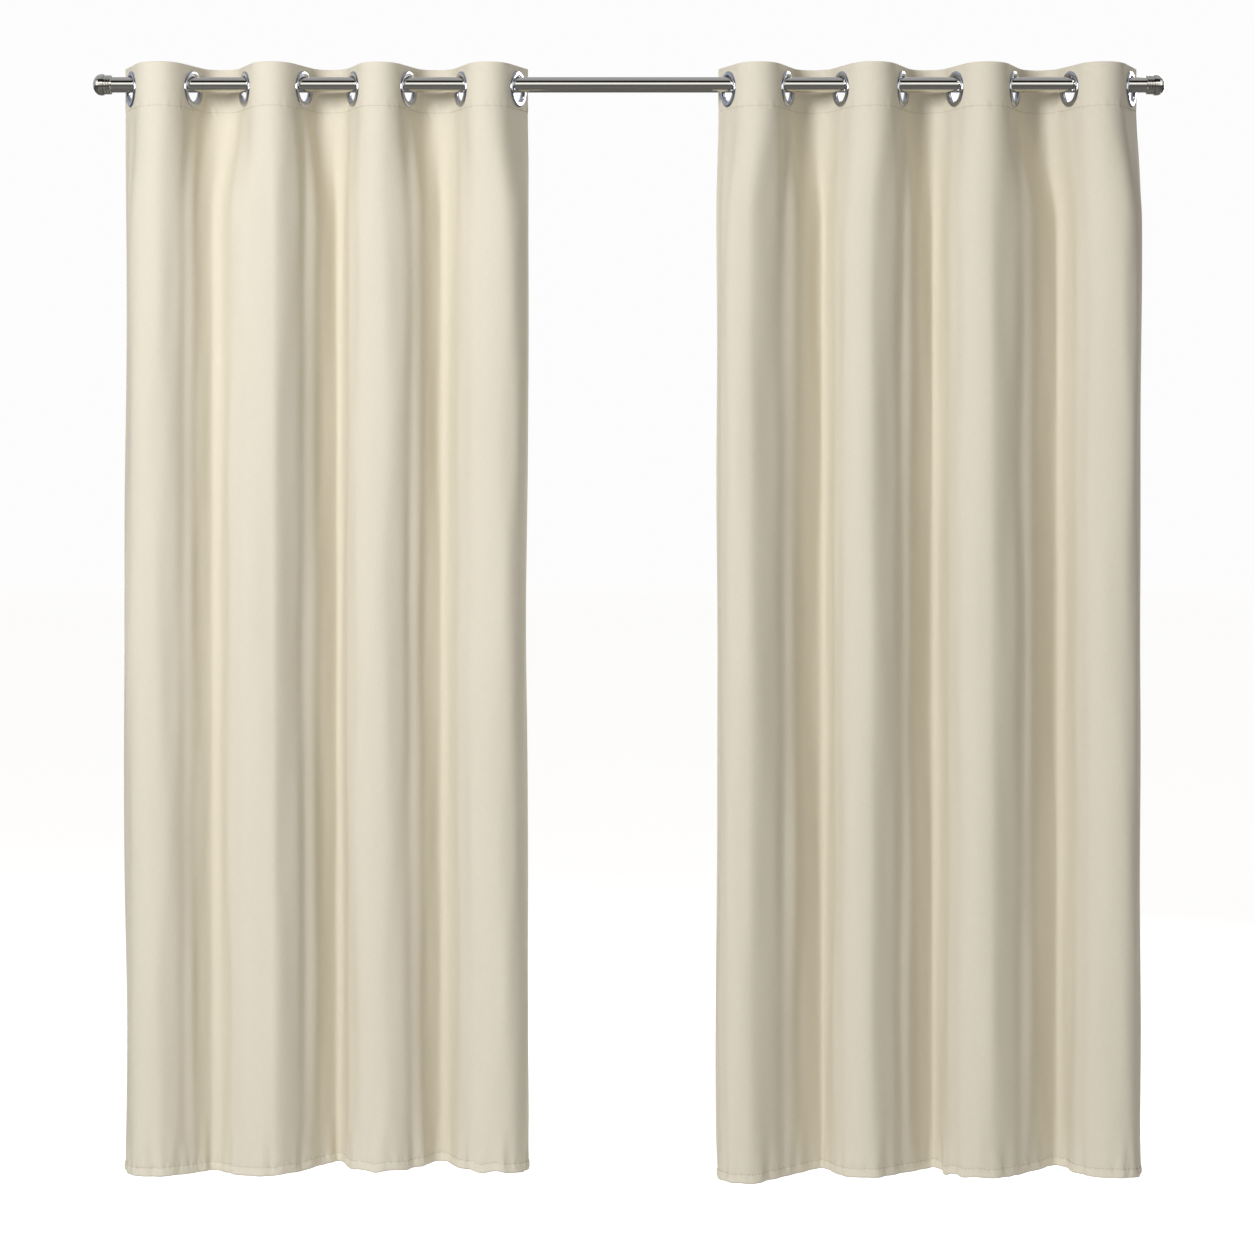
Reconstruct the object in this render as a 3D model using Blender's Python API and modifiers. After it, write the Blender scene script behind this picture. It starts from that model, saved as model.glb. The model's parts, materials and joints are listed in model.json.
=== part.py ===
"""Window curtains on a rod: two eyelet panels hung in folds on one round tube with a finial at each end.

Metres, +Z up. The tube lies along X with its middle at the origin, and the room side is -Y.
Each panel hangs in a zigzag of folds. A fold is the length of cloth between two crests, with one eyelet
in its middle. Folds meet at the crests, which are the upright hinge lines that the panel draws along.
"""

import math

import bmesh
import bpy
from mathutils import Vector

OBJECT_NAME = "window_curtains_on_a_rod"

# Rod tube
TUBE_LENGTH = 1.732
TUBE_RADIUS = 0.0127
TUBE_WALL = 0.0012

# Finials: a domed cap with a spigot in the tube's end, and a beaded collar over the tube's end
COLLAR_LENGTH = 0.0124
COLLAR_RADIUS = 0.0158
COLLAR_GROOVE = 0.0010
CAP_RADIUS = 0.0175
CAP_LENGTH = 0.0180
CAP_RIM = 0.0045
SPIGOT_LENGTH = 0.0300

# Eyelets: a front ring with a barrel through the cloth, and a back ring round the barrel
EYELETS_PER_PANEL = 8
EYELET_HOLE_RADIUS = 0.0205
EYELET_RADIUS = 0.0297
BARREL_WALL = 0.0021
BARREL_REACH = 0.0032
RING_HEIGHT = 0.0030
BACK_RING_RADIUS = 0.0288
BACK_RING_HEIGHT = 0.0022

# Panels
PANEL_LENGTH = 1.829
TOP_ABOVE_ROD = 0.0305
HEADER_DEPTH = 0.0710
HEM_DEPTH = 0.0140
CLOTH_THICKNESS = 0.0020
SIDE_MARGIN = 0.0420
FLAT_ROUND_EYELET = 0.0310
EYELET_YAW = math.radians(68.0)
CREST_ANGLE = math.radians(50.0)
CREST_ROUNDING = 0.38
CREST_GAP = 0.0026

# Each panel: the way to the middle of the rod, the distance of its outermost eyelet from the collar,
# its mean pitch from eyelet to eyelet, and each bay's share of that pitch, from the outside in
PANELS = {
    "left": (1, 0.0336, 0.0908, (1.10, 0.96, 1.05, 0.92, 0.98, 0.98, 1.01)),
    "right": (-1, 0.0270, 0.0945, (1.04, 0.99, 1.01, 0.94, 1.05, 0.96, 1.01)),
}

# Fits
CLEARANCE = 0.0003

# Facets
TUBE_SEGMENTS = 40
EYELET_SEGMENTS = 20
CREST_SEGMENTS = 5
DOME_SEGMENTS = 6

# Colour, roughness and metallic value of each kind of part
FINISHES = {
    "brushed_nickel": ((0.46, 0.45, 0.43), 0.32, 1.0),
    "polished_nickel": ((0.55, 0.54, 0.52), 0.20, 1.0),
    "chrome": ((0.66, 0.67, 0.69), 0.15, 1.0),
    "cloth": ((0.76, 0.71, 0.58), 0.90, 0.0),
}


def clear_scene():
    for obj in list(bpy.data.objects):
        bpy.data.objects.remove(obj, do_unlink=True)


def make_collection(name, hidden):
    collection = bpy.data.collections.new(name)
    bpy.context.scene.collection.children.link(collection)
    collection.hide_render = hidden
    return collection


def make_material(name):
    colour, roughness, metallic = FINISHES[name]
    material = bpy.data.materials.new(name)
    material.use_nodes = True
    shader = material.node_tree.nodes["Principled BSDF"]
    shader.inputs["Base Color"].default_value = (*colour, 1.0)
    shader.inputs["Roughness"].default_value = roughness
    shader.inputs["Metallic"].default_value = metallic
    return material


def add_object(name, mesh, collection, material, parent=None):
    obj = bpy.data.objects.new(name, mesh)
    collection.objects.link(obj)
    if material and not mesh.materials:
        mesh.materials.append(material)
    obj.parent = parent
    return obj


def add_pivot(name, location, collection):
    """An empty on an upright hinge axis, which carries the pieces that turn about it."""
    pivot = bpy.data.objects.new(name, None)
    pivot.location = location
    pivot.empty_display_size = 0.03
    collection.objects.link(pivot)
    return pivot


def profile_mesh(name, points):
    """A profile in the XZ plane, as (radius, height) pairs. It is closed unless it starts on the axis."""
    mesh = bpy.data.meshes.new(name)
    edges = [(i, i + 1) for i in range(len(points) - 1)]
    if points[0][0] > 0.0:
        edges.append((len(points) - 1, 0))
    mesh.from_pydata([(radius, 0.0, height) for radius, height in points], edges, [])
    return mesh


def add_screw(obj, segments):
    screw = obj.modifiers.new("turned", "SCREW")
    screw.axis = "Z"
    screw.steps = segments
    screw.render_steps = segments
    screw.use_merge_vertices = True
    screw.merge_threshold = 0.00001
    screw.use_smooth_shade = True


def make_tube(collection, material):
    inner = TUBE_RADIUS - TUBE_WALL
    half = TUBE_LENGTH / 2
    points = [(TUBE_RADIUS, half), (TUBE_RADIUS, -half), (inner, -half), (inner, half)]
    tube = add_object("rod_tube", profile_mesh("rod_tube", points), collection, material)
    add_screw(tube, TUBE_SEGMENTS)
    tube.rotation_euler = (0.0, math.radians(90), 0.0)


def collar_profile():
    """Three beads between two grooves, over the tube's end. Height 0 is the tube's end face."""
    bore = (TUBE_RADIUS + CLEARANCE) / math.cos(math.pi / TUBE_SEGMENTS)
    bead = COLLAR_LENGTH / 3
    points = [(COLLAR_RADIUS, 0.0)]
    for i in (1, 2):
        groove = -bead * i
        points.append((COLLAR_RADIUS, groove + COLLAR_GROOVE))
        points.append((COLLAR_RADIUS - COLLAR_GROOVE, groove))
        points.append((COLLAR_RADIUS, groove - COLLAR_GROOVE))
    points.append((COLLAR_RADIUS, -COLLAR_LENGTH + COLLAR_GROOVE))
    points.append((COLLAR_RADIUS - COLLAR_GROOVE, -COLLAR_LENGTH))
    points.append((bore, -COLLAR_LENGTH))
    points.append((bore, 0.0))
    return points


def cap_profile():
    """A rim and a dome, with a spigot that plugs the tube. Height 0 is the cap's flat back."""
    spigot = (TUBE_RADIUS - TUBE_WALL) * math.cos(math.pi / TUBE_SEGMENTS) - CLEARANCE
    dome_height = CAP_LENGTH - CAP_RIM
    points = []
    for i in range(DOME_SEGMENTS + 1):
        angle = math.pi / 2 * i / DOME_SEGMENTS
        points.append((CAP_RADIUS * math.sin(angle), CAP_RIM + dome_height * math.cos(angle)))
    points.append((CAP_RADIUS, 0.0))
    points.append((spigot, 0.0))
    points.append((spigot, -SPIGOT_LENGTH))
    points.append((0.0, -SPIGOT_LENGTH))
    return points


def make_finials(collection, material):
    collar_mesh = profile_mesh("finial_collar", collar_profile())
    cap_mesh = profile_mesh("finial_cap", cap_profile())
    for side, outward in (("left", -1), ("right", 1)):
        pivot = add_pivot(f"{side}_finial", (outward * TUBE_LENGTH / 2, 0.0, 0.0), collection)
        pivot.rotation_euler = (0.0, outward * math.radians(90), 0.0)
        collar = add_object(f"{side}_finial_collar", collar_mesh, collection, material, pivot)
        add_screw(collar, TUBE_SEGMENTS)
        cap = add_object(f"{side}_finial_cap", cap_mesh, collection, material, pivot)
        add_screw(cap, TUBE_SEGMENTS)
        cap.location = (0.0, 0.0, CLEARANCE)


def barrel_radius():
    return EYELET_HOLE_RADIUS + BARREL_WALL


def cloth_hole_radius():
    return (barrel_radius() + CLEARANCE) / math.cos(math.pi / EYELET_SEGMENTS)


def front_ring_profile():
    """The domed front flange and the barrel. Height 0 is the middle of the cloth, +Z the room side."""
    face = CLOTH_THICKNESS / 2 + CLEARANCE
    crown = face + RING_HEIGHT
    return [
        (EYELET_RADIUS, face),
        (barrel_radius(), face),
        (barrel_radius(), -BARREL_REACH),
        (EYELET_HOLE_RADIUS + BARREL_WALL / 2, -BARREL_REACH),
        (EYELET_HOLE_RADIUS, -CLOTH_THICKNESS / 2),
        (EYELET_HOLE_RADIUS, face),
        (EYELET_HOLE_RADIUS + RING_HEIGHT / 2, crown),
        (EYELET_RADIUS - RING_HEIGHT, crown),
    ]


def back_ring_profile():
    """The back flange, with a hole that the barrel fits."""
    face = -CLOTH_THICKNESS / 2 - CLEARANCE
    hole = cloth_hole_radius()
    crown = face - BACK_RING_HEIGHT
    return [
        (hole, face),
        (BACK_RING_RADIUS, face),
        (BACK_RING_RADIUS - BACK_RING_HEIGHT, crown),
        (hole, crown),
    ]


def eyelet_drop():
    """How far an eyelet's centre hangs below the tube's axis, with the eyelet on top of the tube."""
    return EYELET_HOLE_RADIUS * math.cos(math.pi / EYELET_SEGMENTS) - TUBE_RADIUS - CLEARANCE


def half_bay(arm):
    """Plan of the cloth from an eyelet's centre to a crest, as (along, out) points. arm is half the bay."""
    crest = Vector((arm, arm * math.tan(CREST_ANGLE)))
    way = Vector((math.cos(EYELET_YAW), math.sin(EYELET_YAW)))
    start = way * FLAT_ROUND_EYELET
    handle = (crest - start).length * CREST_ROUNDING
    controls = (start, start + way * handle, crest - Vector((handle, 0.0)), crest)
    points = []
    for i in range(CREST_SEGMENTS + 1):
        t = i / CREST_SEGMENTS
        s = 1 - t
        weights = (s * s * s, 3 * s * s * t, 3 * s * t * t, t * t * t)
        points.append(sum((c * w for c, w in zip(controls, weights)), Vector((0.0, 0.0))))
    points[-1] = points[-1] - Vector((CREST_GAP / 2, 0.0))
    return points


def side_margin():
    """Plan of the cloth from an end eyelet's centre to the panel's side edge."""
    way = Vector((math.cos(EYELET_YAW), math.sin(EYELET_YAW)))
    return [way * FLAT_ROUND_EYELET, way * SIDE_MARGIN]


def fold_plan(outer_arm, inner_arm):
    """Plan of one fold from its outer crest to its inner one. An arm of None is a side edge."""
    outer = side_margin() if outer_arm is None else half_bay(outer_arm)
    inner = side_margin() if inner_arm is None else half_bay(inner_arm)
    return [-point for point in reversed(outer)] + inner


def fold_mesh(name, plan, inward, facing):
    """The fold's cloth as one upright strip, with rows at the header's and the hem's stitch lines."""
    top = TOP_ABOVE_ROD
    rows = (top, top - HEADER_DEPTH, top - PANEL_LENGTH + HEM_DEPTH, top - PANEL_LENGTH)
    mesh = bpy.data.meshes.new(name)
    shape = bmesh.new()
    grid = [[shape.verts.new((inward * p.x, -facing * p.y, z)) for z in rows] for p in plan]
    for left, right in zip(grid, grid[1:]):
        for i in range(len(rows) - 1):
            shape.faces.new((left[i], left[i + 1], right[i + 1], right[i]))
    shape.to_mesh(mesh)
    shape.free()
    return mesh


def eyelet_normal(inward, facing):
    """The way an eyelet's front looks: across the cloth at the eyelet, to the room side."""
    return Vector((-facing * inward * math.sin(EYELET_YAW), -math.cos(EYELET_YAW), 0.0))


def add_cloth(name, plan, place, inward, facing, pivot, collections, material):
    cloth = add_object(name, fold_mesh(name, plan, inward, facing), collections[0], material, pivot)
    cloth.location = place
    solidify = cloth.modifiers.new("thickness", "SOLIDIFY")
    solidify.thickness = CLOTH_THICKNESS
    solidify.offset = 0.0
    solidify.use_even_offset = True
    bpy.ops.mesh.primitive_cylinder_add(
        vertices=EYELET_SEGMENTS, radius=cloth_hole_radius(), depth=10 * CLOTH_THICKNESS
    )
    cutter = bpy.context.active_object
    cutter.name = f"{name}_hole_cutter"
    for owner in list(cutter.users_collection):
        owner.objects.unlink(cutter)
    collections[1].objects.link(cutter)
    cutter.hide_render = True
    cutter.display_type = "WIRE"
    cutter.parent = pivot
    cutter.location = (place[0], place[1], place[2] - eyelet_drop())
    cutter.rotation_mode = "QUATERNION"
    cutter.rotation_quaternion = eyelet_normal(inward, facing).to_track_quat("Z", "Y")
    hole = cloth.modifiers.new("eyelet_hole", "BOOLEAN")
    hole.operation = "DIFFERENCE"
    hole.solver = "EXACT"
    hole.object = cutter


def add_ring(name, mesh, place, inward, facing, pivot, collection, material):
    ring = add_object(name, mesh, collection, material, pivot)
    add_screw(ring, EYELET_SEGMENTS)
    ring.location = (place[0], place[1], place[2] - eyelet_drop())
    ring.rotation_mode = "QUATERNION"
    ring.rotation_quaternion = eyelet_normal(inward, facing).to_track_quat("Z", "Y")


def make_panel(side, ring_meshes, collections, cloth, chrome):
    inward, outer_gap, mean_pitch, shares = PANELS[side]
    arms = [mean_pitch * share / 2 for share in shares]
    eyelet_x = -inward * (TUBE_LENGTH / 2 - COLLAR_LENGTH - outer_gap)
    hinge = (eyelet_x, 0.0, 0.0)
    for number in range(1, EYELETS_PER_PANEL + 1):
        facing = 1 if number % 2 else -1
        outer_arm = arms[number - 2] if number > 1 else None
        inner_arm = arms[number - 1] if number < EYELETS_PER_PANEL else None
        pivot = add_pivot(f"{side}_fold_{number}_hinge", hinge, collections[0])
        place = (eyelet_x - hinge[0], -hinge[1], 0.0)
        plan = fold_plan(outer_arm, inner_arm)
        name = f"{side}_fold_{number}_cloth"
        add_cloth(name, plan, place, inward, facing, pivot, collections, cloth)
        for part, mesh in ring_meshes.items():
            name = f"{side}_eyelet_{number}_{part}"
            add_ring(name, mesh, place, inward, facing, pivot, collections[0], chrome)
        if inner_arm:
            crest_depth = inner_arm * math.tan(CREST_ANGLE)
            hinge = (eyelet_x + inward * inner_arm, -facing * crest_depth, 0.0)
            eyelet_x += inward * 2 * inner_arm


def main():
    clear_scene()
    parts = make_collection(OBJECT_NAME, False)
    cutters = make_collection("cutters", True)
    materials = {name: make_material(name) for name in FINISHES}
    make_tube(parts, materials["brushed_nickel"])
    make_finials(parts, materials["polished_nickel"])
    ring_meshes = {
        "front": profile_mesh("eyelet_front", front_ring_profile()),
        "back": profile_mesh("eyelet_back", back_ring_profile()),
    }
    for side in PANELS:
        make_panel(side, ring_meshes, (parts, cutters), materials["cloth"], materials["chrome"])


main()
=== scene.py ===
"""Window curtains on a rod: the looks of the two eyelet panels, their rings, the rod and its finials."""

import json
import math

import bpy
import numpy as np
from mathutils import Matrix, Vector


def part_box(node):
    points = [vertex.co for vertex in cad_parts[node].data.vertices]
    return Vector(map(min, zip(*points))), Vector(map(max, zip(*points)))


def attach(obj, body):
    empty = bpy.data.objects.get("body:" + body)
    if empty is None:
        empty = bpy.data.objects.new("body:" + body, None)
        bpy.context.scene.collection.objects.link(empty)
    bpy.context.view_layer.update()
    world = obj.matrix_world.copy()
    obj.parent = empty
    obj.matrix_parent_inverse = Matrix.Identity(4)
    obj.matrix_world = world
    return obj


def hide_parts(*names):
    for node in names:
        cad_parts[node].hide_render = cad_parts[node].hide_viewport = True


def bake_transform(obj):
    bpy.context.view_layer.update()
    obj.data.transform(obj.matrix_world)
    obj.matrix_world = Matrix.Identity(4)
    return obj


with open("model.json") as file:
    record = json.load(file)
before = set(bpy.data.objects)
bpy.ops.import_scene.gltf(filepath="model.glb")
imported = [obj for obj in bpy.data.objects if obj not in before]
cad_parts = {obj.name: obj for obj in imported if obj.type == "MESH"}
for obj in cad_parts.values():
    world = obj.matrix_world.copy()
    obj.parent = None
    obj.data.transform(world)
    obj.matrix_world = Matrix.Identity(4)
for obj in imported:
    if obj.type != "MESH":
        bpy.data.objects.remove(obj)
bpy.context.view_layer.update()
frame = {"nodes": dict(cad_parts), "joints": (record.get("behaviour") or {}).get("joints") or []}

# ---------------------------------------------------------------- sizes, in metres

EYELETS = 8
EYELET_YAW = math.radians(68.0)
FLAT_ROUND_EYELET = 0.031
CREST_ROUNDING = 0.38
SIDE_MARGIN = 0.042
BACK_CREST = 0.34

HOLE_RADIUS = 0.0205
RING_RADIUS = 0.0297
CLOTH_HOLE_RADIUS = 0.0245

HEADER_DEPTH = 0.071
HEM_DEPTH = 0.014
HEADER_FOLD_MARK = 0.014
CLOTH = 0.0009
TURNED_CLOTH = 0.0019

STITCH_PITCH = 0.0046
STITCH_LENGTH = 0.0022
STITCH_WIDTH = 0.0012

FLOOR_BELOW_HEM = 0.26

COLUMN_PITCH = 0.0036  # of the cloth's mesh, away from the rings
RING_COLUMNS = 10  # from an eyelet's middle to the edge of its ring
SAME_PLACE = 1e-6  # flat distances closer than this are one
SOFT_ABOVE_STITCH = 0.012  # the cloth starts to soften this far above the header's stitch line
RELAX_DEPTH = 0.20  # from there, the stiff zigzag turns into the hung folds over this height
RIDGE_FADE = 0.06  # and the ridges grow in over this height
TURN_STEP = 0.002  # the height over which the doubled cloth thins to a single layer
HEM_KINKS = 26  # for each panel
SEAM_MARGIN = 0.001  # between a strip's seam and the stretch worked out for it

# ---------------------------------------------------------------- materials


class Nodes:
    """A short way to write a material's node tree."""

    def __init__(self, name):
        self.material = bpy.data.materials.new(name)
        self.material.use_nodes = True
        self.tree = self.material.node_tree
        self.shader = self.tree.nodes["Principled BSDF"]

    def add(self, kind, **values):
        node = self.tree.nodes.new(kind)
        for key, value in values.items():
            if key in node.inputs.keys():
                node.inputs[key].default_value = value
            else:
                setattr(node, key, value)
        return node

    def link(self, source, target):
        self.tree.links.new(source, target)
        return target

    def math(self, operation, first, second=0.0):
        node = self.add("ShaderNodeMath", operation=operation)
        for socket, value in zip(node.inputs, (first, second)):
            if isinstance(value, (int, float)):
                socket.default_value = value
            else:
                self.link(value, socket)
        return node.outputs[0]

    def ramp(self, factor, low, high, colours):
        node = self.add("ShaderNodeMapRange")
        self.link(factor, node.inputs["Value"])
        node.inputs["From Min"].default_value = low
        node.inputs["From Max"].default_value = high
        mix = self.add("ShaderNodeMix", data_type="RGBA")
        mix.inputs[6].default_value = (*colours[0], 1)
        mix.inputs[7].default_value = (*colours[1], 1)
        self.link(node.outputs["Result"], mix.inputs["Factor"])
        return mix.outputs[2]

    def bump(self, height, strength, distance, normal=None):
        node = self.add("ShaderNodeBump", Strength=strength, Distance=distance)
        self.link(height, node.inputs["Height"])
        if normal is not None:
            self.link(normal, node.inputs["Normal"])
        return node.outputs["Normal"]


def stretched(nodes, source, scale):
    node = nodes.add("ShaderNodeMapping")
    node.inputs["Scale"].default_value = scale
    nodes.link(source, node.inputs["Vector"])
    return node.outputs["Vector"]


def make_fabric():
    """A matte cream twill: diagonal ribs of crossing yarns, slubs along them, and slow changes of tone. The doubled
    hem is a little lighter, and its lowest edge carries painted shade.
    """
    n = Nodes("cream_twill")
    flat = n.add("ShaderNodeUVMap", uv_map="cloth_flat").outputs["UV"]
    parts = n.add("ShaderNodeSeparateXYZ")
    n.link(flat, parts.inputs["Vector"])
    across, down = parts.outputs["X"], parts.outputs["Y"]
    yarn = 0.00085
    turn = 2 * math.pi / yarn
    rib = n.math("SINE", n.math("MULTIPLY", n.math("ADD", across, down), turn))
    warp = n.math("SINE", n.math("MULTIPLY", across, 2 * turn))
    weft = n.math("SINE", n.math("MULTIPLY", down, 2 * turn))
    weave = n.math("ADD", rib, n.math("MULTIPLY", n.math("ADD", warp, weft), 0.35))
    slub = n.add("ShaderNodeTexNoise", Scale=1.0, Detail=3.0, Roughness=0.55)
    n.link(stretched(n, flat, (900, 60, 1)), slub.inputs["Vector"])
    cross = n.add("ShaderNodeTexNoise", Scale=1.0, Detail=3.0, Roughness=0.55)
    n.link(stretched(n, flat, (70, 850, 1)), cross.inputs["Vector"])
    slow = n.add("ShaderNodeTexNoise", Scale=1.0, Detail=4.0, Roughness=0.6)
    n.link(stretched(n, flat, (7, 3, 1)), slow.inputs["Vector"])
    yarns = n.math("ADD", slub.outputs[0], cross.outputs[0])
    tone = n.math("ADD", n.math("MULTIPLY", yarns, 0.55), n.math("MULTIPLY", weave, 0.06))
    tone = n.math("ADD", tone, n.math("MULTIPLY", slow.outputs[0], 0.35))
    base = n.ramp(tone, 0.40, 1.05, ((0.750, 0.697, 0.578), (0.820, 0.770, 0.650)))
    low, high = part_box("left_fold_1_cloth")
    length = high.z - low.z
    hem = length - HEM_DEPTH
    doubled = n.ramp(down, hem - 0.0008, hem + 0.0008, ((1, 1, 1), (1.05, 1.05, 1.055)))
    # painted shade: the cloth's lowest 2 mm, where the hem's edge turns under, is darkened in its colour
    painted_hem_edge_shade = n.ramp(down, length - 0.0022, length - 0.0004, ((1, 1, 1), (0.70, 0.68, 0.66)))
    band = n.add("ShaderNodeVectorMath", operation="MULTIPLY")
    n.link(doubled, band.inputs[0])
    n.link(painted_hem_edge_shade, band.inputs[1])
    toned = n.add("ShaderNodeVectorMath", operation="MULTIPLY")
    n.link(base, toned.inputs[0])
    n.link(band.outputs[0], toned.inputs[1])
    n.link(toned.outputs[0], n.shader.inputs["Base Color"])
    fine = n.bump(weave, 0.35, 0.00012)
    coarse = n.bump(yarns, 0.30, 0.00035, fine)
    n.link(coarse, n.shader.inputs["Normal"])
    n.shader.inputs["Roughness"].default_value = 0.92
    n.shader.inputs["Specular IOR Level"].default_value = 0.06
    n.shader.inputs["Sheen Weight"].default_value = 0.04
    n.shader.inputs["Sheen Roughness"].default_value = 0.5
    return n.material


def make_thread():
    n = Nodes("cream_thread")
    at = n.add("ShaderNodeTexCoord").outputs["Object"]
    ply = n.add("ShaderNodeTexNoise", Scale=1800.0, Detail=2.0)
    n.link(at, ply.inputs["Vector"])
    base = n.ramp(ply.outputs[0], 0.3, 0.7, ((0.40, 0.35, 0.26), (0.56, 0.50, 0.39)))
    n.link(base, n.shader.inputs["Base Color"])
    n.link(n.bump(ply.outputs[0], 0.4, 0.0001), n.shader.inputs["Normal"])
    n.shader.inputs["Roughness"].default_value = 0.75
    return n.material


def make_metal(name, tones, roughness, scale, bump):
    """Plated metal: tone and roughness vary a little along fine marks stretched by scale."""
    n = Nodes(name)
    at = n.add("ShaderNodeTexCoord").outputs["Object"]
    marks = n.add("ShaderNodeTexNoise", Scale=1.0, Detail=4.0, Roughness=0.6)
    n.link(stretched(n, at, scale), marks.inputs["Vector"])
    n.link(n.ramp(marks.outputs[0], 0.3, 0.7, tones), n.shader.inputs["Base Color"])
    rough = n.add("ShaderNodeMapRange")
    n.link(marks.outputs[0], rough.inputs["Value"])
    rough.inputs["From Min"].default_value = 0.3
    rough.inputs["From Max"].default_value = 0.7
    rough.inputs["To Min"].default_value = roughness[0]
    rough.inputs["To Max"].default_value = roughness[1]
    n.link(rough.outputs["Result"], n.shader.inputs["Roughness"])
    n.link(n.bump(marks.outputs[0], bump, 0.0001), n.shader.inputs["Normal"])
    n.shader.inputs["Metallic"].default_value = 1.0
    return n.material


FABRIC = make_fabric()
THREAD = make_thread()
NICKEL_TONES = ((0.61, 0.59, 0.54), (0.69, 0.67, 0.62))
CHROME_TONES = ((0.45, 0.47, 0.53), (0.57, 0.59, 0.65))
BRUSHED = make_metal("brushed_nickel", NICKEL_TONES, (0.04, 0.08), (6, 700, 700), 0.008)
POLISHED = make_metal("polished_nickel", NICKEL_TONES, (0.04, 0.07), (160, 160, 160), 0.004)
CHROME = make_metal("satin_chrome", CHROME_TONES, (0.10, 0.17), (120, 120, 120), 0.01)

# ---------------------------------------------------------------- where the cloth runs, seen from above


def joint_at(name):
    return next(j["pos_m"] for j in frame["joints"] if j["name"] == name)


def bezier(controls, t):
    s = 1 - t
    weights = (s**3, 3 * s * s * t, 3 * s * t * t, t**3)
    return sum(np.outer(w, c) for w, c in zip(weights, controls))


def evenly(points, shares):
    """The points at these shares of the way along a line of many points, and the line's length."""
    steps = np.linalg.norm(np.diff(points, axis=0), axis=1)
    along = np.concatenate([[0], np.cumsum(steps)])
    places = [np.interp(shares * along[-1], along, points[:, i]) for i in range(2)]
    return np.stack(places, 1), along[-1]


class Panel:
    """One panel. Its lists run from the outside in, in mm. drift and depth have a value for each crest, lift has one
    for each crest and side edge, and ridges has one for each eyelet. An edge is (across, back) from its crest."""

    def __init__(self, side, drift, depth, lift, ridges, outer_edge, inner_edge):
        self.side = side
        self.inward = 1 if side == "left" else -1
        first = joint_at(f"{side}_draw")[0]
        self.crests = [
            np.array(joint_at(f"{side}_crest_{k}_bend")[:2]) for k in range(1, EYELETS)
        ]
        self.eyelets = [first]
        for crest in self.crests:
            self.eyelets.append(2 * crest[0] - self.eyelets[-1])
        low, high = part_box(f"{side}_eyelet_1_front")
        self.eyelet_z = (low.z + high.z) / 2
        low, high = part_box(f"{side}_fold_1_cloth")
        self.top, self.bottom = high.z, low.z
        self.hung_crests = [
            np.array([c[0] + d / 1000, y / 1000]) for c, d, y in zip(self.crests, drift, depth)
        ]
        self.lift = np.array(lift) / 1000
        self.ridges = np.array(ridges) / 1000
        outwards = np.array([-self.inward * outer_edge[0], outer_edge[1]])
        inwards = np.array([self.inward * inner_edge[0], inner_edge[1]])
        self.outer_edge = self.hung_crests[0] + outwards / 1000
        self.inner_edge = self.hung_crests[-1] + inwards / 1000

    def facing(self, number):
        """1 where the cloth comes to the room side inwards of this eyelet, -1 where it goes back."""
        return 1 if number % 2 else -1

    def way(self, number):
        """The cloth's direction at an eyelet, from the outside in."""
        across, back = math.cos(EYELET_YAW), math.sin(EYELET_YAW)
        return np.array([self.inward * across, -self.facing(number) * back])


def header_half(panel, number, toward):
    """The cloth at the header, from an eyelet to the crest or the side edge beside it.
    toward is 1 inwards, -1 outwards."""
    centre = np.array([panel.eyelets[number - 1], 0.0])
    way = panel.way(number) * toward
    index = number - 1 if toward > 0 else number - 2
    if not 0 <= index < EYELETS - 1:
        return np.vstack([centre, centre + way * SIDE_MARGIN])
    crest = panel.crests[index]
    start = centre + way * FLAT_ROUND_EYELET
    handle = np.linalg.norm(crest - start) * CREST_ROUNDING
    ahead = np.array([panel.inward * toward * handle, 0.0])
    curve = bezier((start, start + way * handle, crest - ahead, crest), np.linspace(0, 1, 60))
    return np.vstack([centre, curve])


def hung_line(panel, number, flat_length):
    """The cloth past an eyelet well below the header, from the crest or edge outside it to the one inside it.
    Its bow is solved so that the line is as long as the cloth. The flanks that look to +X may bow only a little,
    except at the side edges."""
    first = panel.outer_edge if number == 1 else panel.hung_crests[number - 2]
    last = panel.inner_edge if number == EYELETS else panel.hung_crests[number - 1]
    span = abs(last[0] - first[0])
    ahead = np.array([panel.inward, 0.0])
    looks_right = panel.facing(number) * panel.inward < 0
    at_edge = number in (1, EYELETS)
    loose = np.array([panel.inward * (0.12 if looks_right else 0.45), -panel.facing(number) * 0.9])
    leave = loose if number == 1 else ahead
    arrive = loose if number == EYELETS else ahead
    sharp, round_off = (BACK_CREST, 1.0) if panel.facing(number) > 0 else (1.0, BACK_CREST)
    low, high = 0.25, 0.46 if looks_right and not at_edge else 0.92
    for _ in range(20):
        share = (low + high) / 2
        leaving, arriving = leave * share * sharp * span, arrive * share * round_off * span
        curve = bezier((first, first + leaving, last - arriving, last), np.linspace(0, 1, 120))
        if np.linalg.norm(np.diff(curve, axis=0), axis=1).sum() < flat_length:
            low = share
        else:
            high = share
    return curve


def half_cuts(length):
    """Flat distances of the columns from the eyelet: even across the ring, then out to the crest or edge."""
    ring = np.linspace(0, FLAT_ROUND_EYELET, RING_COLUMNS)
    beyond = max(3, round((length - FLAT_ROUND_EYELET) / COLUMN_PITCH))
    return np.concatenate([ring, np.linspace(FLAT_ROUND_EYELET, length, beyond + 1)[1:]])


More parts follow.
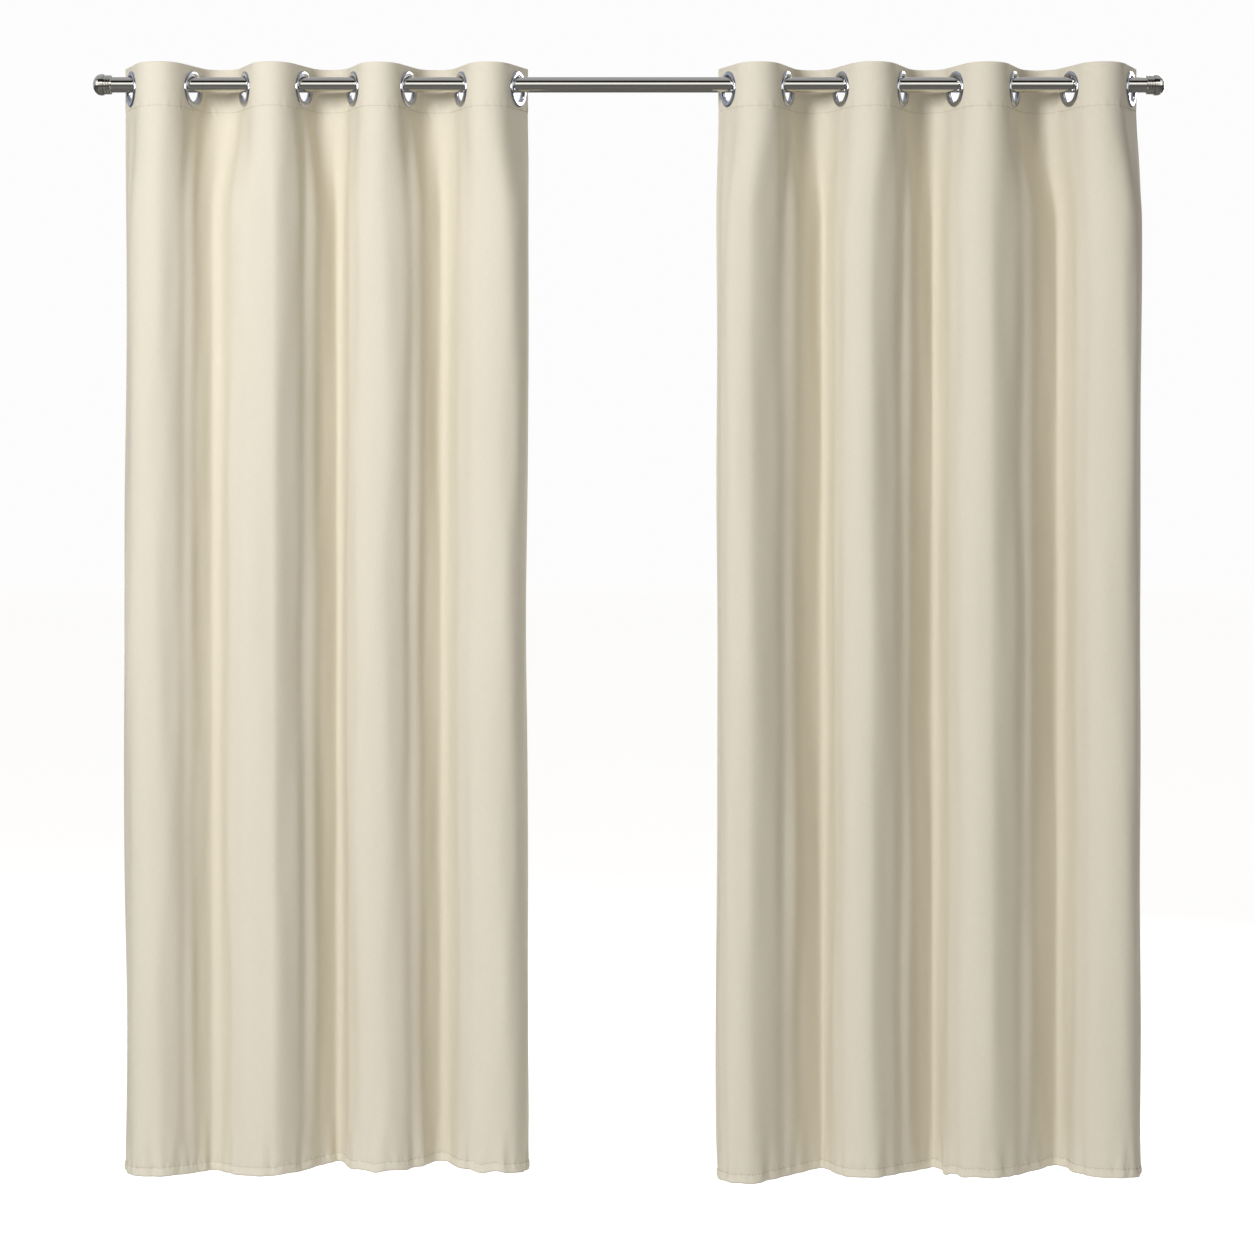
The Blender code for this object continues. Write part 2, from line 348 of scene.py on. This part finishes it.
def columns_of(panel):
    """Each column's place at the header and low down, its flat distance across, and its (eyelet, offset)."""
    top, low, flat, owner = [], [], [], []
    at = 0.0
    for number in range(1, EYELETS + 1):
        outer, inner = header_half(panel, number, -1), header_half(panel, number, 1)
        _, outer_length = evenly(outer, np.zeros(1))
        _, inner_length = evenly(inner, np.zeros(1))
        total = outer_length + inner_length
        hung = hung_line(panel, number, total)
        out_cuts, in_cuts = half_cuts(outer_length)[::-1], half_cuts(inner_length)
        out_points, _ = evenly(outer, out_cuts / outer_length)
        in_points, _ = evenly(inner, in_cuts / inner_length)
        offsets = np.concatenate([-out_cuts, in_cuts[1:]])
        places, _ = evenly(hung, (offsets + outer_length) / total)
        skip = 1 if number > 1 else 0
        top.extend(np.vstack([out_points, in_points[1:]])[skip:])
        low.extend(places[skip:])
        flat.extend((at + outer_length + offsets)[skip:])
        owner.extend([(number, o) for o in offsets[skip:]])
        at += total
    return np.array(top), np.array(low), np.array(flat), owner


def rows_of(panel):
    """Heights of the rows, close together at the header and the hem."""
    header = panel.top - HEADER_DEPTH
    body, hem = header - 0.08, panel.bottom + 0.07
    stitched = panel.bottom + HEM_DEPTH * 1.5
    stretches = (
        (panel.top, header, 22),
        (header, body, 20),
        (body, hem, 104),
        (hem, stitched, 12),
        (stitched, panel.bottom, 13),
    )
    return np.concatenate([[panel.top], *(np.linspace(*stretch)[1:] for stretch in stretches)])


# ---------------------------------------------------------------- how the cloth hangs


def ease(t):
    t = np.clip(t, 0, 1)
    return t * t * (3 - 2 * t)


def ripple(u, v, waves, seed):
    """A sum of slow waves with set phases: (wavelength across, wavelength down, height) each."""
    total = 0.0
    for i, (across, down, height) in enumerate(waves):
        phase = 2.4 * (i + 1) * seed + 0.7 * i
        slant = 0.35 * math.sin(1.7 * i + seed)
        sideways = np.sin(2 * math.pi * (u / across + slant * v / down) + phase)
        downwards = np.sin(2 * math.pi * v / down + 1.3 * phase)
        total = total + height * sideways * downwards
    return total


BODY_RIPPLES = (
    (0.31, 1.30, 0.0020),
    (0.17, 0.80, 0.0012),
    (0.083, 0.62, 0.0007),
    (0.046, 0.45, 0.00035),
)
STITCH_PUCKERS = ((0.0215, 0.05, 0.0007), (0.0128, 0.04, 0.0007), (0.0095, 0.03, 0.0004))
HEM_FLUTTER = ((0.093, 0.90, 0.0022), (0.052, 0.60, 0.0018), (0.031, 0.40, 0.0009))


def hem_heights(panel, flat, owner, seed):
    """How much each column's hem is raised: slowly from crest to crest, and in small kinks."""
    crest_flats = [flat[i] for i in range(1, len(owner)) if owner[i][0] != owner[i - 1][0]]
    slow = np.interp(flat, [flat[0], *crest_flats, flat[-1]], panel.lift)
    rng = np.random.default_rng(seed)
    kinks = np.zeros_like(flat)
    for _ in range(HEM_KINKS):
        spot = rng.uniform(flat[0], flat[-1])
        wide = rng.uniform(0.010, 0.030)
        high = rng.normal(0, 0.0016)
        kinks += high * np.clip(1 - np.abs(flat - spot) / wide, 0, 1)
    return slow, kinks


def ridge_lift(panel, owner, z):
    """The upright ridge and hollow that the cloth keeps on the two sides of each eyelet's middle line."""
    lift = np.zeros((len(z), len(owner)))
    below = ease((panel.top - HEADER_DEPTH + SOFT_ABOVE_STITCH - z) / RIDGE_FADE)
    for i, (number, offset) in enumerate(owner):
        wave = math.sin(2 * math.pi * offset / 0.052) * math.exp(-((offset / 0.030) ** 2))
        wander = 1 + 0.25 * np.sin(5.1 * z + 2.0 * number)
        lift[:, i] = -panel.facing(number) * panel.ridges[number - 1] * wave * below * wander
    return lift


def hang(panel, seed):
    """The middle surface of the cloth as rows of points, its normals, each column's flat distance across and its
    (eyelet, offset), and each row's height."""
    top, low, flat, owner = columns_of(panel)
    z = rows_of(panel)
    relax = ease((panel.top - HEADER_DEPTH + SOFT_ABOVE_STITCH - z) / RELAX_DEPTH)[:, None, None]
    plan = top[None] * (1 - relax) + low[None] * relax
    slow, kinks = hem_heights(panel, flat, owner, seed)
    height = z[:, None] + slow * ease((panel.top - 0.8 - z) / 1.0)[:, None]
    height = height + kinks * ease((panel.bottom + 0.075 - z) / 0.06)[:, None]
    surface = np.concatenate([plan, height[:, :, None]], 2)
    normal = normals_of(surface, panel)
    u, v = np.meshgrid(flat, panel.top - z)
    below = ease((panel.top - HEADER_DEPTH + 0.02 - z) / 0.12)[:, None]
    lift = ripple(u, v, BODY_RIPPLES, seed) * below + ridge_lift(panel, owner, z)
    for line in (panel.top - HEADER_DEPTH, panel.bottom + HEM_DEPTH):
        near = np.exp(-(((z - line) / 0.008) ** 2))[:, None]
        lift = lift + ripple(u, v, STITCH_PUCKERS, seed + line) * near
        lift = lift - 0.0002 * np.exp(-(((z - line) / 0.002) ** 2))[:, None]
    loose = ease((panel.bottom + 0.10 - z) / 0.09)[:, None]
    lift = lift + ripple(u, v, HEM_FLUTTER, seed) * loose
    hem = np.clip((z - panel.bottom) / HEM_DEPTH, 0, 1)[:, None]
    lift = lift + 0.0011 * np.sin(math.pi * hem**0.8)
    mark = np.exp(-(((z - panel.top + HEADER_FOLD_MARK) / 0.0022) ** 2))[:, None]
    lift = lift - 0.0007 * mark
    near_ring = np.array([[abs(o) for _, o in owner]]) < FLAT_ROUND_EYELET
    calm = np.where(near_ring & (np.abs(z[:, None] - panel.eyelet_z) < FLAT_ROUND_EYELET), 0.0, 1.0)
    surface = surface + normal * (lift * calm)[:, :, None]
    return surface, normals_of(surface, panel), flat, owner, z


def normals_of(surface, panel):
    """Unit normals on the room side's face."""
    across = np.gradient(surface, axis=1)
    down = np.gradient(surface, axis=0)
    normal = np.cross(down, across) * panel.inward
    return normal / np.linalg.norm(normal, axis=2, keepdims=True)


def thickness_of(z, panel):
    """Half the cloth's thickness at each row: doubled in the header and the hem."""
    header = ease((z - panel.top + HEADER_DEPTH + TURN_STEP) / TURN_STEP)
    hem = ease((panel.bottom + HEM_DEPTH + TURN_STEP - z) / TURN_STEP)
    return (CLOTH + (TURNED_CLOTH - CLOTH) * np.maximum(header, hem)) / 2


# ---------------------------------------------------------------- meshes


def corners_of(cells):
    """Which points of the grid are a corner of any of these cells."""
    points = np.zeros((cells.shape[0] + 1, cells.shape[1] + 1), bool)
    for rows in (slice(None, -1), slice(1, None)):
        for cols in (slice(None, -1), slice(1, None)):
            points[rows, cols] |= cells
    return points


def strip_mesh(panel, hung, first, last, side_edges):
    """One strip of the cloth, from column first to column last, with a face on each side and rounded edges.
    side_edges says whether its first and last columns are the panel's own side edges or seams inside it."""
    surface, normal, flat, owner, z = hung
    cols = np.arange(first, last + 1)
    half = thickness_of(z, panel)[:, None, None]
    points, normals, flats, faces = [], [], [], []

    def add(block, directions, u, v):
        start = sum(len(p) for p in points)
        points.append(block.reshape(-1, 3))
        normals.append(directions.reshape(-1, 3))
        flats.append(np.stack([u.ravel(), v.ravel()], 1))
        return start + np.arange(block.shape[0] * block.shape[1]).reshape(block.shape[:2])

    mid, out = surface[:, cols].copy(), normal[:, cols]
    holes = np.zeros((len(z) - 1, len(cols) - 1), bool)
    offset = np.array([owner[c][1] for c in cols])
    rise = z - panel.eyelet_z
    for number in [owner[c][0] for c in cols if abs(owner[c][1]) < SAME_PLACE]:
        mine = np.array([owner[c][0] == number for c in cols])
        r = np.hypot(offset[None, :], rise[:, None])
        centre_u = (offset[:-1] + offset[1:]) / 2
        centre_v = (rise[:-1] + rise[1:]) / 2
        inside = np.hypot(centre_u[None, :], centre_v[:, None]) < CLOTH_HOLE_RADIUS
        inside &= (mine[:-1] & mine[1:])[None, :]
        holes |= inside
        rim = corners_of(inside) & corners_of(~inside)
        way = panel.way(number)
        scale = CLOTH_HOLE_RADIUS / np.maximum(r, SAME_PLACE)
        for row, col in zip(*np.nonzero(rim)):
            du, dv = offset[col] * scale[row, col], rise[row] * scale[row, col]
            mid[row, col] = (
                panel.eyelets[number - 1] + way[0] * du,
                way[1] * du,
                panel.eyelet_z + dv,
            )
    u, v = np.meshgrid(flat[cols], panel.top - z)
    front = add(mid + out * half, out, u, v)
    back = add(mid - out * half, -out, u, v)

    def quads(a, b, c, d):
        block = np.stack([a, b, c, d], -1).reshape(-1, 4)
        faces.extend(block.tolist() if panel.inward > 0 else block[:, ::-1].tolist())

    keep = ~holes
    quads(front[:-1, :-1][keep], front[1:, :-1][keep], front[1:, 1:][keep], front[:-1, 1:][keep])
    quads(back[:-1, :-1][keep], back[:-1, 1:][keep], back[1:, 1:][keep], back[1:, :-1][keep])
    for row, up in ((0, 1.0), (-1, -1.0)):
        direction = np.array([0, 0, up])
        edge_mid = mid[row] + direction * half[row] * 0.6
        directions = np.broadcast_to(direction, edge_mid.shape)
        line = add(edge_mid[None], directions[None], u[row][None], v[row][None])[0]
        lines = (front[row], line, back[row]) if up > 0 else (back[row], line, front[row])
        for lower, upper in zip(lines[:-1], lines[1:]):
            quads(lower[:-1], lower[1:], upper[1:], upper[:-1])
    for col, is_edge in zip((0, -1), side_edges):
        near, far = (back[:, col], front[:, col]) if col == 0 else (front[:, col], back[:, col])
        if is_edge:
            direction = mid[:, col] - mid[:, 1 if col == 0 else -2]
            direction = direction / np.linalg.norm(direction, axis=1, keepdims=True)
            edge_mid = mid[:, col] + direction * half[:, 0] * 0.6
            line = add(edge_mid[:, None], direction[:, None], u[:, [col]], v[:, [col]])[:, 0]
            quads(near[:-1], near[1:], line[1:], line[:-1])
            quads(line[:-1], line[1:], far[1:], far[:-1])
        else:
            quads(near[:-1], near[1:], far[1:], far[:-1])
    return np.vstack(points), np.vstack(normals), np.vstack(flats), faces


# Each ring of a stitch: (share of the length, share of the width, half widths that it stands out of the cloth)
STITCH_RINGS = ((-0.5, 0.35, -0.5), (-0.3, 0.9, 0.35), (0.3, 0.9, 0.35), (0.5, 0.35, -0.5))
STITCH_SIDES = 6


def stitch_row(panel, hung, first, last, z_line, seed):
    """Stitches along one line of the cloth's face: short rounded dashes that dip in at both ends."""
    surface, normal, flat, _, z = hung
    row = int(np.argmin(np.abs(z - z_line)))
    cols = np.arange(first, last + 1)
    along = flat[cols]
    half = thickness_of(z, panel)[row]
    line, out = surface[row, cols], normal[row, cols]
    up = np.array([0, 0, 1.0])
    points, faces = [], []
    count = int(along[-1] / STITCH_PITCH) + 1
    rng = np.random.default_rng(seed)
    wobble = rng.normal(0, 0.00035, (count + 2, 3))
    for i in range(int(along[0] / STITCH_PITCH) + 1, count):
        middle = i * STITCH_PITCH + wobble[i, 0]
        if middle - STITCH_LENGTH / 2 < along[0] or middle + STITCH_LENGTH / 2 > along[-1]:
            continue
        start = len(points)
        for share, swell, sink in STITCH_RINGS:
            at = middle + share * STITCH_LENGTH
            spot = np.array([np.interp(at, along, line[:, k]) for k in range(3)])
            face = np.array([np.interp(at, along, out[:, k]) for k in range(3)])
            spot = spot + face * (half + sink * STITCH_WIDTH * 0.5)
            spot[2] += wobble[i, 1] + share * wobble[i, 2] * 3
            for k in range(STITCH_SIDES):
                angle = 2 * math.pi * k / STITCH_SIDES
                spoke = up * math.cos(angle) + face * 0.7 * math.sin(angle)
                points.append(spot + spoke * STITCH_WIDTH / 2 * swell)
        last_ring = start + STITCH_SIDES * (len(STITCH_RINGS) - 1)
        for ring in range(start, last_ring, STITCH_SIDES):
            for k in range(STITCH_SIDES):
                m = (k + 1) % STITCH_SIDES
                faces.append([ring + k, ring + m, ring + STITCH_SIDES + m, ring + STITCH_SIDES + k])
        faces.append([start + k for k in reversed(range(STITCH_SIDES))])
        faces.append([last_ring + k for k in range(STITCH_SIDES)])
    if panel.inward < 0:
        faces = [f[::-1] for f in faces]
    return np.array(points).reshape(-1, 3), faces


def link(obj):
    bpy.context.scene.collection.objects.link(obj)
    return obj


def cloth_object(name, cloth, stitches):
    """A strip and its stitches as one object. The stitches are left out of the flat layout and the custom normals."""
    points, normals, flats, faces = cloth
    count = len(faces)
    for more, dashes in stitches:
        base = len(points)
        points = np.vstack([points, more])
        normals = np.vstack([normals, np.zeros_like(more)])
        flats = np.vstack([flats, np.zeros((len(more), 2))])
        faces = faces + [[base + i for i in f] for f in dashes]
    mesh = bpy.data.meshes.new(name)
    mesh.from_pydata(points.tolist(), [], faces)
    mesh.update()
    layer = mesh.uv_layers.new(name="cloth_flat")
    corner = np.empty(len(mesh.loops), np.int32)
    mesh.loops.foreach_get("vertex_index", corner)
    layer.data.foreach_set("uv", flats[corner].astype(np.float32).ravel())
    mesh.polygons.foreach_set("use_smooth", [True] * len(faces))
    mesh.materials.append(FABRIC)
    mesh.materials.append(THREAD)
    mesh.polygons.foreach_set("material_index", [0] * count + [1] * (len(faces) - count))
    mesh.normals_split_custom_set_from_vertices(normals.tolist())
    return link(bpy.data.objects.new(name, mesh))


def lathe(name, profile, segments, centre, axis, material):
    """A turned ring from a closed profile of (radius, height) points, with its axis along axis."""
    rotation = Vector(axis).to_track_quat("Z", "Y").to_matrix()
    points = []
    for radius, height in profile:
        for i in range(segments):
            angle = 2 * math.pi * i / segments
            spoke = Vector((radius * math.cos(angle), radius * math.sin(angle), height))
            points.append(rotation @ spoke + Vector(centre))
    count = len(profile)
    faces = []
    for p in range(count):
        q = (p + 1) % count
        for i in range(segments):
            j = (i + 1) % segments
            corners = ((p, i), (p, j), (q, j), (q, i))
            faces.append([level * segments + spot for level, spot in corners])
    mesh = bpy.data.meshes.new(name)
    mesh.from_pydata(points, [], faces)
    mesh.update()
    mesh.materials.append(material)
    mesh.shade_smooth()
    mesh.set_sharp_from_angle(angle=math.radians(50))
    return link(bpy.data.objects.new(name, mesh))


def arc(centre, radii, start, end, steps):
    points = []
    for i in range(steps + 1):
        angle = math.radians(start + (end - start) * i / steps)
        points.append((centre[0] + radii[0] * math.cos(angle), centre[1] + radii[1] * math.sin(angle)))
    return points


def front_ring_profile():
    """A flange with a rolled edge and a rounded lip down into the barrel. Height 0 is the cloth's middle."""
    face = TURNED_CLOTH / 2
    crown = 0.0042
    lip = HOLE_RADIUS + 0.0034
    outer = arc((RING_RADIUS - 0.0030, face + 0.0006), (0.0030, crown - face - 0.0006), -12, 90, 8)
    inner = arc((lip, face), (lip - HOLE_RADIUS, crown - face), 90, 180, 8)
    barrel_outside = HOLE_RADIUS + 0.0020
    barrel = [
        (HOLE_RADIUS, -0.0018),
        (HOLE_RADIUS + 0.0012, -0.0031),
        (barrel_outside, -0.0031),
        (barrel_outside, face),
    ]
    return (outer + inner + barrel)[::-1]


def back_ring_profile():
    """A flatter flange round the barrel, on the back of the cloth."""
    face = -TURNED_CLOTH / 2
    hole = HOLE_RADIUS + 0.0022
    outer = arc((RING_RADIUS - 0.0032, face - 0.0003), (0.0024, 0.0020), 12, -90, 7)
    inner = arc((hole + 0.0020, face - 0.0003), (0.0020, 0.0022), 270, 180, 6)
    return outer + inner + [(hole, face)]


# ---------------------------------------------------------------- the panels

LEFT = Panel(
    "left",
    drift=(-6, -12, 3, 9, 3, 8, 18),
    depth=(-52, 18, -52, 61, -26, 59, -40),
    lift=(5, 8, 4, 9, 11, 12, 10, 11, 7),
    ridges=(0.5, 1.2, 0.8, 2.5, 0.8, 2.3, 0.8, 0.5),
    outer_edge=(58, 72),
    inner_edge=(44, 62),
)
RIGHT = Panel(
    "right",
    drift=(26, 32, 3, 11, -7, 15, -18),
    depth=(-48, 62, -50, 62, -48, 60, -60),
    lift=(2, 4, 3, 4, 0, 5, 0, -2, -2),
    ridges=(0.5, 0.8, 2.3, 0.8, 2.5, 0.8, 2.3, 0.5),
    outer_edge=(42, 64),
    inner_edge=(50, 58),
)


def make_cloth(panel, seed):
    """The panel's cloth as seven strips, each running from one eyelet to the next, in place of the CAD cloth of the
    folds, which is hidden. A seam lies just inwards of an eyelet's ring, and both strips have its column of points,
    so that they meet without a gap."""
    hung = hang(panel, seed)
    surface, _, flat, owner, _ = hung
    cuts = [0]
    for number in range(2, EYELETS):
        cuts.append(
            next(
                i
                for i, (n, offset) in enumerate(owner)
                if n == number and abs(offset - FLAT_ROUND_EYELET) < SAME_PLACE
            )
        )
    cuts.append(len(owner) - 1)
    for k in range(1, EYELETS):
        first, last = cuts[k - 1], cuts[k]
        edges = (k == 1, k == EYELETS - 1)
        cloth = strip_mesh(panel, hung, first, last, edges)
        rows = [
            stitch_row(panel, hung, first, last, panel.top - HEADER_DEPTH, seed),
            stitch_row(panel, hung, first, last, panel.bottom + HEM_DEPTH, seed + 1),
        ]
        strip = cloth_object(f"{panel.side}_cloth_{k}", cloth, rows)
        i = panel.inward
        ring = FLAT_ROUND_EYELET * math.cos(EYELET_YAW)
        start = i * panel.eyelets[k - 1] + ring
        end = i * panel.eyelets[k] - ring
        if k > 1:
            start = max(start, (i * surface[:, first, 0]).max() + SEAM_MARGIN)
        if k < EYELETS - 1:
            end = min(end, (i * surface[:, last, 0]).min() - SEAM_MARGIN)
        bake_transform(strip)
        nodes = [f"{panel.side}_fold_{k}_cloth"]
        if k == EYELETS - 1:
            nodes.append(f"{panel.side}_fold_{k + 1}_cloth")
        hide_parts(*nodes)


def make_eyelets(panel):
    for number in range(1, EYELETS + 1):
        turned = -panel.facing(number) * panel.inward
        normal = (turned * math.sin(EYELET_YAW), -math.cos(EYELET_YAW), 0)
        centre = (panel.eyelets[number - 1], 0, panel.eyelet_z)
        for part, profile in (("front", front_ring_profile()), ("back", back_ring_profile())):
            node = f"{panel.side}_eyelet_{number}_{part}"
            ring = lathe(f"{node}_ring", profile, 64, centre, normal, CHROME)
            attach(ring, f"{panel.side}_fold_{number}")
            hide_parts(node)


def give(node, material):
    """Puts a material on a CAD node that shows as it is."""
    mesh = frame["nodes"][node].data
    mesh.materials.clear()
    mesh.materials.append(material)


for panel, seed in ((LEFT, 3), (RIGHT, 8)):
    make_cloth(panel, seed)
    make_eyelets(panel)
give("rod_tube", BRUSHED)
for side in ("left", "right"):
    give(f"{side}_finial_cap", POLISHED)
    give(f"{side}_finial_collar", POLISHED)

# ---------------------------------------------------------------- floor, light and camera


def area_light(name, location, target, size, energy):
    data = bpy.data.lights.new(name, "AREA")
    data.shape = "RECTANGLE"
    data.size, data.size_y = size
    data.energy = energy
    light = link(bpy.data.objects.new(name, data))
    light.location = location
    light.rotation_euler = (Vector(target) - Vector(location)).to_track_quat("-Z", "Y").to_euler()


# The bright and dark bands that polished metal sees, as (place from straight down to straight up, level)
STUDIO_BANDS = (
    (0.0, 0.60),
    (0.20, 0.42),
    (0.25, 0.03),
    (0.475, 0.02),
    (0.50, 1.70),
    (0.73, 1.70),
    (0.755, 0.02),
    (0.895, 0.03),
    (0.93, 0.42),
    (1.0, 0.55),
)


def make_world():
    """White to the camera, one soft level to diffuse rays, and to glossy rays the studio's bands on the room side and
    a plain grey behind."""
    world = bpy.data.worlds.new("studio")
    bpy.context.scene.world = world
    world.use_nodes = True
    tree = world.node_tree
    tree.nodes.clear()
    out = tree.nodes.new("ShaderNodeOutputWorld")
    seen = tree.nodes.new("ShaderNodeBackground")
    seen.inputs["Color"].default_value = (0.98, 0.98, 0.98, 1)
    soft = tree.nodes.new("ShaderNodeBackground")
    direction = tree.nodes.new("ShaderNodeTexCoord")
    split = tree.nodes.new("ShaderNodeSeparateXYZ")
    tree.links.new(direction.outputs["Generated"], split.inputs["Vector"])
    rise = tree.nodes.new("ShaderNodeMapRange")
    rise.inputs["From Min"].default_value = -1.0
    tree.links.new(split.outputs["Z"], rise.inputs["Value"])
    bands = tree.nodes.new("ShaderNodeValToRGB")
    for _ in range(len(STUDIO_BANDS) - 2):
        bands.color_ramp.elements.new(0.5)
    for element, (place, level) in zip(bands.color_ramp.elements, STUDIO_BANDS):
        element.position = place
        element.color = (level, level, level, 1)
    tree.links.new(rise.outputs["Result"], bands.inputs["Fac"])
    ahead = tree.nodes.new("ShaderNodeMapRange")
    ahead.inputs["From Min"].default_value = 0.15
    ahead.inputs["From Max"].default_value = -0.35
    tree.links.new(split.outputs["Y"], ahead.inputs["Value"])
    mixed = tree.nodes.new("ShaderNodeMix")
    mixed.data_type = "RGBA"
    mixed.inputs[6].default_value = (0.56, 0.57, 0.62, 1)
    tree.links.new(ahead.outputs["Result"], mixed.inputs["Factor"])
    tree.links.new(bands.outputs["Color"], mixed.inputs[7])
    path = tree.nodes.new("ShaderNodeLightPath")
    sheltered = tree.nodes.new("ShaderNodeMix")
    sheltered.data_type = "RGBA"
    tree.links.new(path.outputs["Is Diffuse Ray"], sheltered.inputs["Factor"])
    tree.links.new(mixed.outputs[2], sheltered.inputs[6])
    sheltered.inputs[7].default_value = (0.24, 0.232, 0.215, 1)
    tree.links.new(sheltered.outputs[2], soft.inputs["Color"])
    soft.inputs["Strength"].default_value = 0.9
    mix = tree.nodes.new("ShaderNodeMixShader")
    tree.links.new(path.outputs["Is Camera Ray"], mix.inputs["Fac"])
    tree.links.new(soft.outputs[0], mix.inputs[1])
    tree.links.new(seen.outputs[0], mix.inputs[2])
    tree.links.new(mix.outputs[0], out.inputs["Surface"])


def make_floor(z):
    """A wide pale floor. It glows a little to the camera, so that it nearly matches the white background, and is dark
    to glossy rays, so that the metal doesn't mirror it."""
    mesh = bpy.data.meshes.new("floor")
    reach = 60.0
    corners = [(-reach, -reach, z), (reach, -reach, z), (reach, reach, z), (-reach, reach, z)]
    mesh.from_pydata(corners, [], [(0, 1, 2, 3)])
    n = Nodes("pale_floor")
    n.shader.inputs["Roughness"].default_value = 0.95
    n.shader.inputs["Specular IOR Level"].default_value = 0.0
    n.shader.inputs["Emission Color"].default_value = (1, 1, 1, 1)
    path = n.add("ShaderNodeLightPath")
    glow = n.math("MULTIPLY", path.outputs["Is Camera Ray"], 0.72)
    n.link(glow, n.shader.inputs["Emission Strength"])
    tones = ((0.9, 0.9, 0.9), (0.25, 0.25, 0.25))
    base = n.ramp(path.outputs["Is Glossy Ray"], 0.0, 1.0, tones)
    n.link(base, n.shader.inputs["Base Color"])
    mesh.materials.append(n.material)
    link(bpy.data.objects.new("floor", mesh))


def make_camera():
    data = bpy.data.cameras.new("camera")
    data.sensor_width = 36.0
    data.lens = 95.68421
    data.shift_y = -0.0885
    data.clip_end = 200
    camera = link(bpy.data.objects.new("camera", data))
    camera.location = (-0.0033, -5.5, -0.7115)
    camera.rotation_euler = (math.radians(90), 0, 0)
    bpy.context.scene.camera = camera


make_world()
make_floor(LEFT.bottom - FLOOR_BELOW_HEM)
area_light("key", (-2.2, -3.8, 0.95), (0, 0, 0.5), (0.8, 1.9), 142)
area_light("back", (2.4, 3.6, 1.2), (0, 0, -0.8), (2.0, 2.4), 110)
make_camera()
bpy.context.scene.view_settings.view_transform = "Standard"
